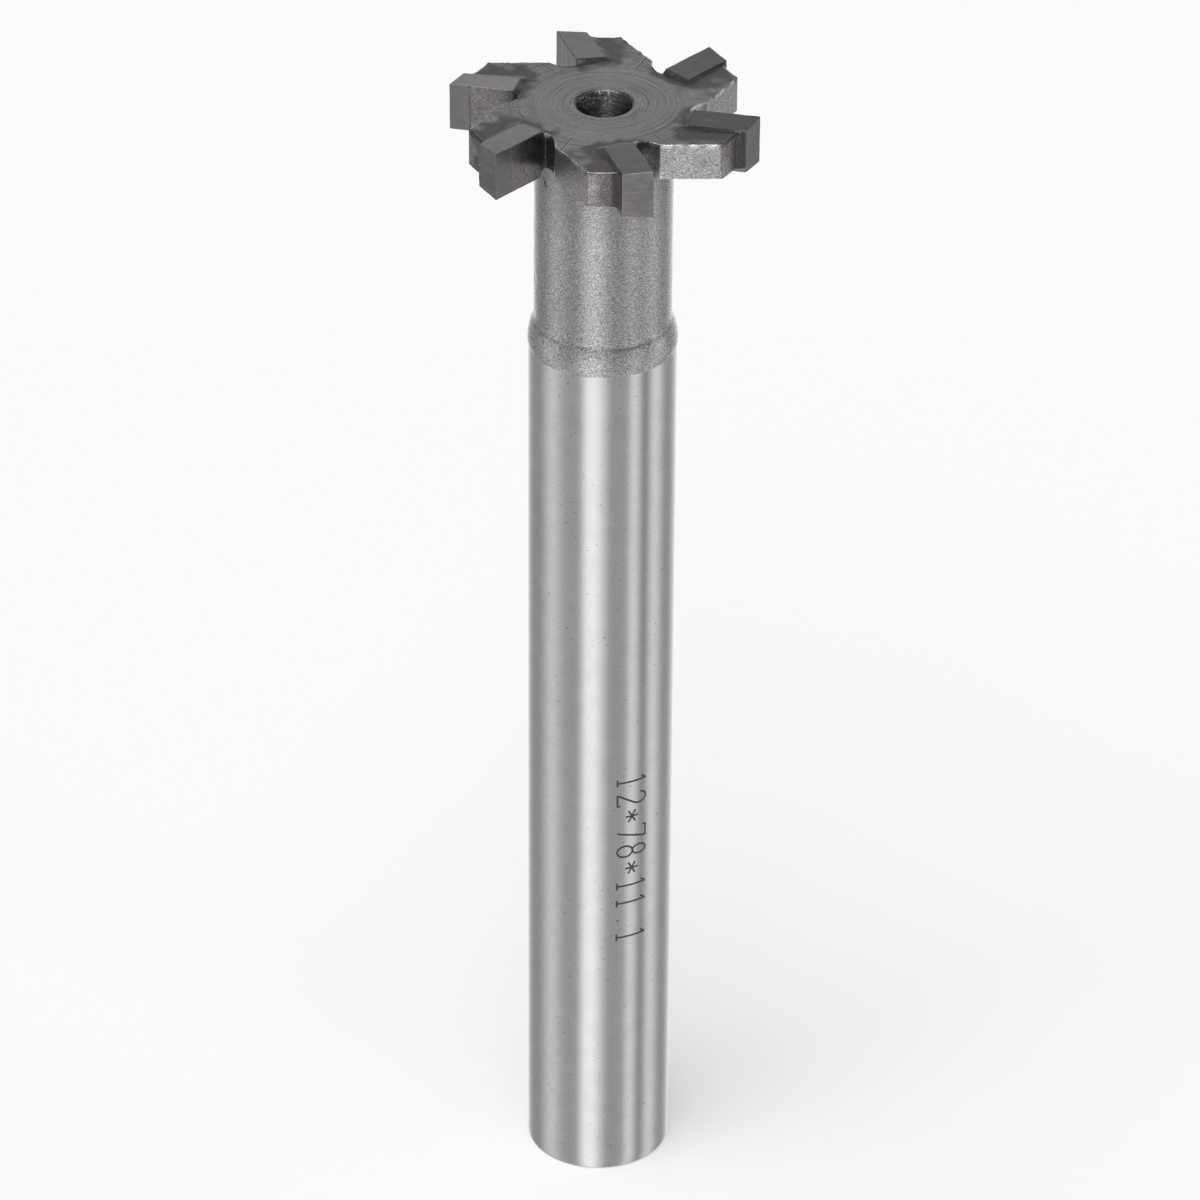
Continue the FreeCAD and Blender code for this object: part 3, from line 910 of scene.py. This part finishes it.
# Each tip's grain starts this many millimetres further on, so that no two tips look alike.
GRAIN_SHIFT = 30
for number in range(TOOTH_COUNT):
    points, quads = tip_shape(number)
    out, ahead, up = points.T
    plan = at_tooth(out + 1j * ahead, number)
    tip = mesh_object(f"cutting_tip_{number + 1}", raised(plan, up), quads)
    sew(tip)
    out, ahead, up = tooth_places(mesh_points(tip), number)
    from_flank = tip_high[0] + ahead * math.tan(math.radians(FLANK_RELIEF)) - out
    depth_in = np.stack([
        np.minimum(out - TIP_INNER, from_flank),
        np.minimum(-ahead, ahead - TIP_BACK),
        tip_half[2] + ahead * math.tan(math.radians(SIDE_RELIEF)) - np.abs(up - TIP_MIDDLE)])
    second = np.sort(depth_in, axis=0)[1]
    facing = np.clip((ahead + 0.14) / 0.08, 0, 1)
    pressed = np.clip((tip_high[0] - GROUND_STRIP - out) / 0.5 + 0.5, 0, 1)
    store(tip, "tooth", np.column_stack([out, ahead + GRAIN_SHIFT * number, up]) * MM)
    # How much the tips' edges are lightened, less near the braze: a painted highlight on worn carbide.
    bare = np.clip((out - TIP_INNER - 0.5) / 1.5, 0.1, 1) * np.clip((ahead + 0.5) / 0.3, 0, 1)
    store(tip, "edge", np.clip(1 - second / (0.7 * TIP_EDGE), 0, 1) * bare)
    store(tip, "front", facing)
    store(tip, "flank", np.clip(1.5 - from_flank / 0.06, 0, 1))
    store(tip, "rough", facing * pressed)
    tip.data.materials.append(carbide)
    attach(tip, "root")
    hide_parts(f"carbide_tip_{number + 1}")

# The braze: silver solder melted into the gap between each tip and its seat. It ran out round the
# tip's foot and set there in a hollow bead, dark with burnt flux.
BEAD_BELOW_TOP = 0.004
BEAD_OVER_TIP = 0.07
BEAD_HEIGHT_BOTTOM = 0.28
BEAD_WIDTH_RIM = 0.5
BEAD_WIDTH_CORNER = 0.85
BEAD_WIDTH_INNER = 0.62
BEAD_WIDTH_BOTTOM = 0.5
BEAD_SINK = 0.03
RIM_BEAD = 0.6


def braze_shape(number):
    """One tip's braze in its tooth's frame: points and quads of a section carried round the tip.

    The path runs along the tip's back from its outer end, turns at the inner corner and runs
    along the inner end. The section fills the gap between the two faces of the head. Above and
    below it spreads into a bead whose height falls as (1 - t) to the power 1.7, with t from 0
    at the tip to 1 at the bead's foot. Near the rim it fills the corner behind the tip instead,
    from the land to the tip, with the same fall."""
    back_outer = tip_high[0] + TIP_BACK * math.tan(math.radians(FLANK_RELIEF)) - 0.02
    rim_start = math.sqrt(LAND_RADIUS**2 - (TIP_BACK - RIM_BEAD) ** 2)
    run = np.concatenate([
        np.linspace(back_outer, rim_start + 0.001, 12), np.linspace(rim_start - 0.001, TIP_INNER, 44)])
    fan = np.linspace(0, math.pi / 2, 9)[1:-1]
    end = np.linspace(TIP_BACK, -0.01, 26)
    out = np.concatenate([run, np.full(len(fan) + len(end), TIP_INNER)])
    ahead = np.concatenate([np.full(len(run) + len(fan), TIP_BACK), end])
    swing = np.concatenate([0 * run, fan, np.full(len(end), math.pi / 2)])
    outward = np.stack([-np.sin(swing), -np.cos(swing)], -1)
    place = np.column_stack([out, ahead, 0 * out])
    seed = 60 + number
    wander = ripple(place, 1.6, seed)
    spread = np.interp(out, [7.3, 9.5], [BEAD_WIDTH_CORNER, BEAD_WIDTH_RIM]) + 0.16 * wander
    spread = np.where(swing > 1.5, BEAD_WIDTH_INNER + 0.12 * wander, spread)
    spread *= np.where(swing > 1.5, 1 - 0.3 * np.clip((ahead + 0.5) / 0.5, 0, 1), 1)
    below = BEAD_WIDTH_BOTTOM + 0.1 * ripple(place, 1.4, seed + 10)
    t_rim = np.clip((out - rim_start) / (back_outer - rim_start), 0, 1)
    corner = 0.01 + (RIM_BEAD - 0.01) * (1 - t_rim) ** 1.8
    at_rim = out > rim_start
    middle = np.where(at_rim, corner, BRAZE_GAP + 0.01)
    drop = 0.10 * np.clip((out - rim_start + 0.35) / 0.45, 0, 1)
    top, bottom = HEAD_TOP - drop, HEAD_BOTTOM + 0.5 * drop
    top_spread, low_spread = np.where(at_rim, corner, spread), np.where(at_rim, corner, below)
    tip_stands = tip_high[2] - HEAD_TOP + ahead * math.tan(math.radians(SIDE_RELIEF))
    top_height = tip_stands + drop - BEAD_BELOW_TOP * (1 + 4 * t_rim)
    low_height = BEAD_HEIGHT_BOTTOM * (1 - 0.15 * wander) * (1 - 0.5 * t_rim)
    t = np.linspace(0, 1, 9)
    fall = (1 - t) ** 1.7
    over_tip = np.full(len(out), -BEAD_OVER_TIP)
    away = np.column_stack([
        top_spread[:, None] * t, top_spread, middle, middle, low_spread,
        low_spread[:, None] * t[::-1], over_tip, over_tip])
    height = np.column_stack([
        top[:, None] + top_height[:, None] * fall, top - BEAD_SINK, top - BEAD_SINK - 0.01,
        bottom + BEAD_SINK + 0.01, bottom + BEAD_SINK,
        bottom[:, None] - low_height[:, None] * fall[::-1], bottom - low_height, top + top_height])
    points = np.dstack([
        out[:, None] + outward[:, :1] * away, ahead[:, None] + outward[:, 1:] * away, height])
    rows, columns = away.shape
    quads = grid_faces(rows, columns).tolist()
    caps = [list(range(columns)), list(range((rows - 1) * columns, rows * columns))[::-1]]
    return points.reshape(-1, 3), quads + caps


braze, tree, output, place = finish_material("braze")
crust = grain(tree, place, 0.22, detail=3.0, roughness=0.65)
cloud = grain(tree, place, 0.9, detail=2.0)
colour = ramp(tree, crust, [
    (0.3, (0.066, 0.063, 0.062)), (0.55, (0.108, 0.104, 0.102)), (0.75, (0.18, 0.176, 0.171))])
colour = mixed(tree, ramp(tree, cloud, [(0.4, 0), (0.65, 0.5)]), colour, (0.088, 0.081, 0.077))
metal(tree, output, colour, 0.42, bump(tree, crust, 0.015))

for number in range(TOOTH_COUNT):
    points, quads = braze_shape(number)
    plan = at_tooth(points[:, 0] + 1j * points[:, 1], number)
    joint = mesh_object(f"braze_bead_{number + 1}", raised(plan, points[:, 2]), quads)
    sew(joint, gap=1e-8, outwards=True)
    joint.data.set_sharp_from_angle(angle=math.radians(50))
    joint.data.materials.append(braze)
    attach(joint, "root")
    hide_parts(f"braze_joint_{number + 1}")


# The size marking, which is etched into a real shank. Here it is thin dark strokes that stand just
# proud of the ground steel: plain numbers for the shank's diameter, its ground length and the neck's
# diameter. It reads down the shank.
MARKING = "12*78*11.1"
MARK_START = 40.3
MARK_PITCH = 1.72
LETTER_HEIGHT = 2.6
LETTER_WIDTH = 1.2
STROKE_WIDTH = 0.17
STROKE_STEP = 0.1
MARK_BEARING = 308.4
MARK_PROUD = 0.004
MARK_THICKNESS = 0.02
STROKE_LIFT = 0.0005


def bow(centre, half_width, half_height, start, end):
    """Points of a letter's ellipse between two angles in degrees, as complex numbers."""
    t = np.radians(np.linspace(start, end, 28))
    return (centre + half_width * np.cos(t) + 1j * half_height * np.sin(t)).tolist()


# Each letter's strokes in a box 1 wide and 1 high, x + y j from its lower left corner.
LETTER_STROKES = {
    "1": [[0.2 + 0.84j, 0.5 + 1j, 0.5 + 0j], [0.22 + 0j, 0.78 + 0j]],
    "2": [bow(0.5 + 0.74j, 0.44, 0.26, 172, -38) + [0.05 + 0j, 0.97 + 0j, 0.97 + 0.09j]],
    "7": [[0.04 + 0.90j, 0.04 + 1j, 0.96 + 1j, 0.36 + 0j]],
    "8": [bow(0.5 + 0.76j, 0.36, 0.24, 0, 360), bow(0.5 + 0.26j, 0.45, 0.26, 0, 360)],
    "*": [[0.5 + 0.5j - arm, 0.5 + 0.5j + arm] for arm in (0.22j, 0.46 + 0.12j, 0.46 - 0.12j)],
    ".": [[0.44 + 0.03j, 0.56 + 0.03j]],
}


def ribbon(corners, width):
    """A stroke through the corners as points and quads: even steps along its middle line, and at
    each step one point to either side, half the width away."""
    corners = np.array(corners)
    reached = np.append(0, np.cumsum(np.abs(np.diff(corners))))
    count = max(2, int(reached[-1] / STROKE_STEP) + 1)
    steps = np.unique(np.concatenate([np.linspace(0, reached[-1], count), reached]))
    middle = np.interp(steps, reached, corners)
    heading = np.gradient(middle)
    side = 0.5j * width * heading / np.abs(heading)
    return np.concatenate([middle - side, middle + side]), grid_faces(2, len(middle), closed=False)


points, faces, first = [], [], 0
for place_in_row, letter in enumerate(MARKING):
    for number, stroke in enumerate(LETTER_STROKES[letter]):
        drawn = [(c.real - 0.5) * LETTER_WIDTH + 1j * (c.imag - 0.5) * LETTER_HEIGHT for c in stroke]
        plan, quads = ribbon(drawn, STROKE_WIDTH)
        along_row = plan.real + MARK_PITCH * (place_in_row + 0.5)
        proud = SHANK_RADIUS + MARK_PROUD + STROKE_LIFT * number
        angle = math.radians(MARK_BEARING) + plan.imag / SHANK_RADIUS
        points.append(np.column_stack([
            proud * np.cos(angle), proud * np.sin(angle), MARK_START - along_row]))
        faces += (quads + first).tolist()
        first += len(plan)
marking = mesh_object("size_marking", np.concatenate(points), faces)
depth = marking.modifiers.new("depth", "SOLIDIFY")
depth.thickness = MARK_THICKNESS * MM
depth.offset = -1
etched, tree, output, place = finish_material("etched_marking")
smut = grain(tree, place, 0.12, detail=2.0)
colour = ramp(tree, smut, [(0.35, (0.075, 0.068, 0.064)), (0.7, (0.17, 0.16, 0.152))])
metal(tree, output, colour, 0.55, bump(tree, smut, 0.01))
marking.data.materials.append(etched)
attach(marking, "root")
